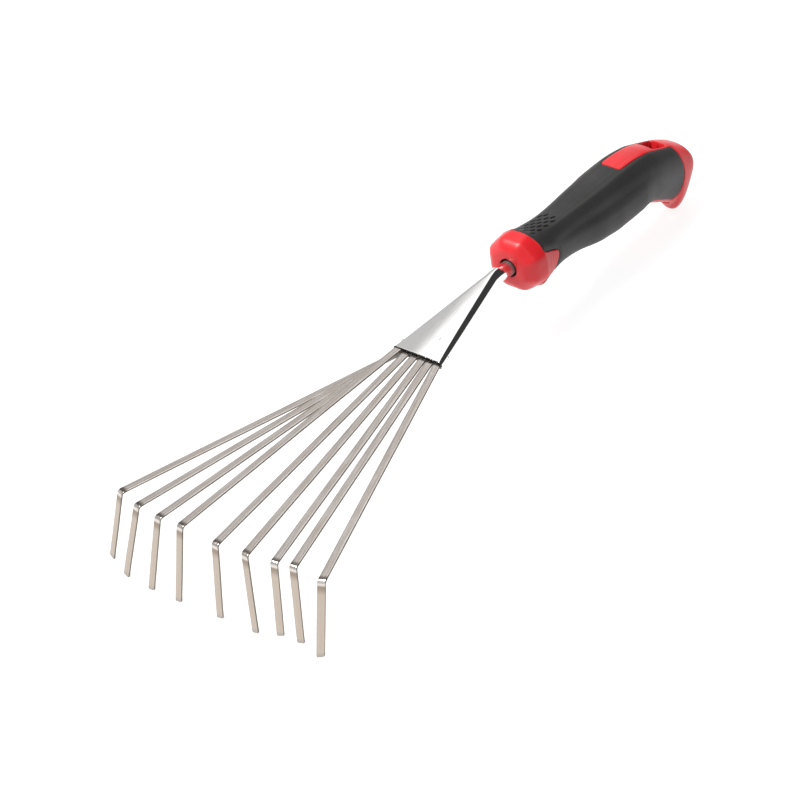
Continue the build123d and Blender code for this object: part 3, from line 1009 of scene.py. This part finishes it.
# where the tongue's ribs start from the middle plane, and rise or fade along it, from its rim and upwards
TONGUE_SIDE = 0.009
TONGUE_RISE = (0.0005, 0.002)
TONGUE_FADE = (0.012, 0.013)
TONGUE_RIM = (0.0005, 0.0016)
TONGUE_LOW = (0.029, 0.032)


def handle_grid():
    """Rings of points over the handle, from the bottom of its pocket to its rear face, and their angles."""
    fine = np.arange(-FINE_HALF_TURN, FINE_HALF_TURN, FINE_TURN)
    angles = np.concatenate([fine, np.arange(FINE_HALF_TURN, 360 - FINE_HALF_TURN, COARSE_TURN)])
    rings = []
    shank = Vector((0, cos(SHANK_FALL), -sin(SHANK_FALL)))
    shank_up = Vector((0, sin(SHANK_FALL), cos(SHANK_FALL)))
    low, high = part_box("tang")
    tang_end = Vector((0, high.y, low.z + TANG_RADIUS * cos(SHANK_FALL)))
    turns = [radians(angle) for angle in angles]
    spokes = [RIGHT * sin(turn) + shank_up * cos(turn) for turn in turns]
    for back, radius in POCKET_RINGS:
        rings.append([tang_end - shank * back + spoke * radius for spoke in spokes])
    for distance, radius, sharpness in COLLAR_PROFILE:
        rings.append([collar_point(distance, radius, sharpness, angle) for angle in angles])
    places = [place for run in RING_RUNS for place in np.arange(*run)]
    rear_start = RING_RUNS[-1][1]
    rear_length = HANDLE_END - GRIP_START - REAR_BULGE - rear_start
    rear_turns = np.linspace(0, pi / 2, REAR_RINGS)
    places += [rear_start + rear_length * sin(turn) for turn in rear_turns]
    for place in places:
        rings.append([body_point(place, angle) for angle in angles])
    rear = rings[-1]
    rear_middle = sum(rear, Vector()) / len(rear)
    for size, bulge in CLOSING_RINGS:
        rings.append([rear_middle + (point - rear_middle) * size + BACK * bulge for point in rear])
    return np.array([[tuple(point) for point in ring] for ring in rings]), angles


def grid_normals(grid):
    """Outward normals of a grid of rings."""
    ahead = np.gradient(grid, axis=0)
    around = np.roll(grid, -1, axis=1) - np.roll(grid, 1, axis=1)
    normals = np.cross(ahead, around)
    normals /= np.linalg.norm(normals, axis=2, keepdims=True) + 1e-15
    row = len(grid) // 2
    outward = (normals[row] * (grid[row] - grid[row].mean(0))).sum()
    return normals if outward > 0 else -normals


def off_zero(values):
    """The same values with none of them exactly on the line where faces are split."""
    return np.where(abs(values) < NO_EDGE, NO_EDGE, values)


def rounding(distance, radius):
    """How far a rounded edge lies under a sharp one, at a distance from it."""
    inside = np.clip(radius - distance, 0, radius)
    return radius - np.sqrt(np.maximum(radius**2 - inside**2, 0))


def shared_edges(first_faces, second_faces):
    """Edges that two sets of faces have in common."""
    marks = {}
    for faces, mark in ((first_faces, 1), (second_faces, 2)):
        for face in faces:
            for a, b in zip(face, face[1:] + face[:1]):
                key = (min(a, b), max(a, b))
                marks[key] = marks.get(key, 0) | mark
    return [key for key, mark in marks.items() if mark == 3]


def make_handle(red, rubber):
    """The red core and the black grip, split along their shared edge so that they fit each other."""
    grid, angles = handle_grid()
    columns = len(angles)
    points, normals = grid.reshape(-1, 3), grid_normals(grid).reshape(-1, 3)
    x, y, z = points.T
    place = y - GRIP_START
    on_skin = np.repeat(np.arange(len(grid)), columns) >= len(POCKET_RINGS) + len(COLLAR_PROFILE)

    front = outline_distance(smooth_line(TONGUE_EDGE), place, z)
    rear = -outline_distance(smooth_line(HEEL_EDGE), place, z)
    inlay_half = (INLAY_HALF, INLAY_REACH)
    inlay = rounded_box_distance(x, place - INLAY_PLACE - INLAY_REACH, inlay_half, INLAY_CORNER)
    inlay = np.where(normals[:, 2] > 0, inlay, 1.0)
    rubber_side = np.minimum(np.minimum(front, rear), inlay)
    rubber_side = off_zero(np.where(on_skin, rubber_side, -np.maximum(-rubber_side, DEEPEST_FRONT)))
    hole = rounded_box_distance(x, place - HOLE_PLACE, HOLE_HALF, HOLE_CORNER)
    hole = off_zero(np.where(on_skin, hole, 1.0))
    stepped = (front <= np.minimum(rear, inlay)).astype(float)
    ridge_turn = np.tile([crease(angle, RIDGE_ANGLE, RIDGE_LINE) for angle in angles], len(grid))
    ridge = ridge_turn * crease_share(place) * on_skin
    # columns: 3 of the point, 3 of its normal, rubber side, hole, step, ridge
    table = np.column_stack([points, normals, rubber_side, hole, stepped, ridge])
    rows = [np.array(row) for row in table]
    rubber_column, hole_column = 6, 7

    faces = tube_faces(len(grid), columns)
    skin, _ = split_faces(rows, faces, hole_column)
    rubber_faces, red_faces = split_faces(rows, skin, rubber_column)
    red_faces += end_faces(len(grid), columns)
    rows = np.array(rows)
    points, normals = rows[:, :3], rows[:, 3:6]
    normals /= np.linalg.norm(normals, axis=1, keepdims=True) + 1e-15
    from_edge, from_hole, stepped, ridge = abs(rows[:, rubber_column]), *rows[:, hole_column:].T
    x, y, z = points.T
    place = y - GRIP_START

    on_tongue = (abs(x) > TONGUE_SIDE) * blend_step(*TONGUE_RISE, place)
    on_tongue *= 1 - blend_step(*TONGUE_FADE, place)
    on_tongue *= blend_step(*TONGUE_RIM, from_edge) * blend_step(*TONGUE_LOW, z)
    wave = np.cos(2 * pi * (place - RIB_SLANT * z) / RIB_PITCH)
    red_drop = rounding(from_edge, RED_ROUNDING) + rounding(from_hole, HOLE_ROUNDING)
    red_drop += RIB_HEIGHT * (0.5 + 0.5 * wave) * on_tongue
    rubber_drop = SHADOW_LINE * np.exp(-((from_edge / SHADOW_LINE_REACH) ** 2))
    rubber_drop += GRIP_STEP * stepped * np.exp(-((from_edge / GRIP_STEP_REACH) ** 2))
    dashes = dash_depth(x, place, z)
    rubber_drop += dashes
    # painted shade: the pocket and the recess rings are darkened in the red
    recess_shade = (np.arange(len(points)) < columns * (len(POCKET_RINGS) + RECESS_RINGS)).astype(float)
    shared = shared_edges(rubber_faces, red_faces)

    def assemble(outer_faces, inner_faces, outer_drop, inner_drop, second_note, third_note):
        """Closed body of outer faces and deeper inner faces, joined along the shared edge."""
        made, faces_made, notes, index = [], [], [], {}
        for faces_here, drop, level in ((outer_faces, outer_drop, 0), (inner_faces, inner_drop, 1)):
            for face in faces_here:
                for point in face:
                    if (point, level) not in index:
                        index[point, level] = len(made)
                        made.append(points[point] - normals[point] * drop[point])
                        notes.append((from_edge[point], second_note[point], third_note[point]))
                faces_made.append(tuple(index[point, level] for point in face))
        for a, b in shared:
            faces_made.append((index[a, 0], index[b, 0], index[b, 1], index[a, 1]))
        return made, faces_made, {"edge": notes}

    deep = np.full(len(points), GRIP_DEPTH)
    made, faces_made, notes = assemble(red_faces, rubber_faces, red_drop, deep, from_hole, recess_shade)
    core = make_piece("core_moulding", made, faces_made, red, ["handle_core"], notes)
    close_mesh(core.data, SHARP_EDGE, bridged=True)
    under = deep - GRIP_CLEARANCE
    in_dash = dashes / DASH_DEPTH
    made, faces_made, notes = assemble(rubber_faces, rubber_faces, rubber_drop, under, ridge, in_dash)
    make_piece("grip_overmould", made, faces_made, rubber, ["grip"], notes)


# -------- light, floor, camera

SKY_BASE = 0.9
# direction, angle at which the panel ends, angle at which it is full, brightness
SKY_PANELS = (
    ((-0.4, 0.52, 0.77), 34, 20, 1.45),
    ((-0.55, -0.62, 0.56), 30, 18, 0.55),
    ((0.62, -0.62, 0.4), 36, 20, 0.45),
    ((0.05, -0.12, 0.99), 20, 8, 0.45),
    ((-0.5, -0.02, 0.86), 22, 10, 0.2),
    ((-0.86, 0.42, 0.42), 26.6, 24.6, 0.6),
    ((0.38, 0.78, 0.42), 49, 43, 0.045),
)
FLOOR_HALF = 4.0
FLOOR_TONES = ((0.27, 0.27, 0.27), (0.29, 0.29, 0.29))
FLOOR_GLOW = 0.86
KEY_PLACE = Vector((-0.5, -0.4, 1.88))
KEY_SIZE = 0.85
KEY_POWER = 52.0


def make_sky():
    """A white studio tent with a bright panel, five grey ones and a nearly black one behind on the right."""
    world = bpy.data.worlds.new("studio")
    bpy.context.scene.world = world
    sky = Nodes(world, "Background")
    ray = sky.place("Generated")
    level = (SKY_BASE,) * 3
    for direction, end, full, brightness in SKY_PANELS:
        inputs = {0: ray, 1: Vector(direction).normalized()}
        nearness = sky.node("ShaderNodeVectorMath", inputs, operation="DOT_PRODUCT").outputs["Value"]
        limits = cos(radians(end)), cos(radians(full))
        level = sky.mix(sky.span(nearness, *limits, 0, 1, smooth=True), level, (brightness,) * 3)
    sky.set(Color=level, Strength=1.0)


def make_floor():
    """A plain pale floor, far larger than the view."""
    pale = Nodes(bpy.data.materials.new("pale_floor"))
    base = pale.mix(pale.noise(pale.place(), 3, 2), *FLOOR_TONES)
    pale.set(Base_Color=base, Roughness=0.95, Specular_IOR_Level=0.1)
    pale.set(Emission_Color=(1, 1, 1, 1), Emission_Strength=FLOOR_GLOW)
    mesh = bpy.data.meshes.new("floor")
    corners = [(FLOOR_HALF * x, FLOOR_HALF * y, 0) for x, y in ((-1, -1), (1, -1), (1, 1), (-1, 1))]
    mesh.from_pydata(corners, [], [(0, 1, 2, 3)])
    mesh.materials.append(pale.owner)
    add_object("floor", mesh)


def make_key():
    """A soft square light that faces the middle of the rake."""
    light = bpy.data.lights.new("key", "AREA")
    light.shape = "SQUARE"
    light.size = KEY_SIZE
    light.energy = KEY_POWER
    turn_object(add_object("key", light), KEY_PLACE, (-KEY_PLACE).to_track_quat("-Z", "Y"))


CAMERA_AZIMUTH = radians(43.35)
CAMERA_ELEVATION = radians(37.03)
CAMERA_ROLL = radians(-8.15)
CAMERA_DISTANCE = 1.6638
CAMERA_AIM = Vector((-0.02125, -0.0181, 0.0))
CAMERA_LENS = 157.98
CAMERA_SENSOR = 36.0


def make_camera():
    """A long lens from the front right, turned a little about its own axis."""
    data = bpy.data.cameras.new("camera")
    data.lens = CAMERA_LENS
    data.sensor_width = CAMERA_SENSOR
    data.dof.use_dof = False
    camera = add_object("camera", data)
    level, height = cos(CAMERA_ELEVATION), sin(CAMERA_ELEVATION)
    away = Vector((sin(CAMERA_AZIMUTH) * level, -cos(CAMERA_AZIMUTH) * level, height))
    facing = Matrix.Rotation(CAMERA_ROLL, 3, away) @ (-away).to_track_quat("-Z", "Y").to_matrix()
    turn_object(camera, CAMERA_AIM + away * CAMERA_DISTANCE, facing.to_quaternion())
    bpy.context.scene.camera = camera


# -------- the rake

make_camera()
make_sky()
make_floor()
make_key()

steel = steel_material()
for number in range(1, 10):
    make_tine(f"tine_{number}", number, steel)
make_ferrule(chrome_material())
make_weld(weld_material())
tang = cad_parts["tang"]
tang.data.materials.clear()
tang.data.materials.append(rod_material())
make_handle(red_material(), rubber_material())

bpy.context.scene.view_settings.view_transform = "Standard"
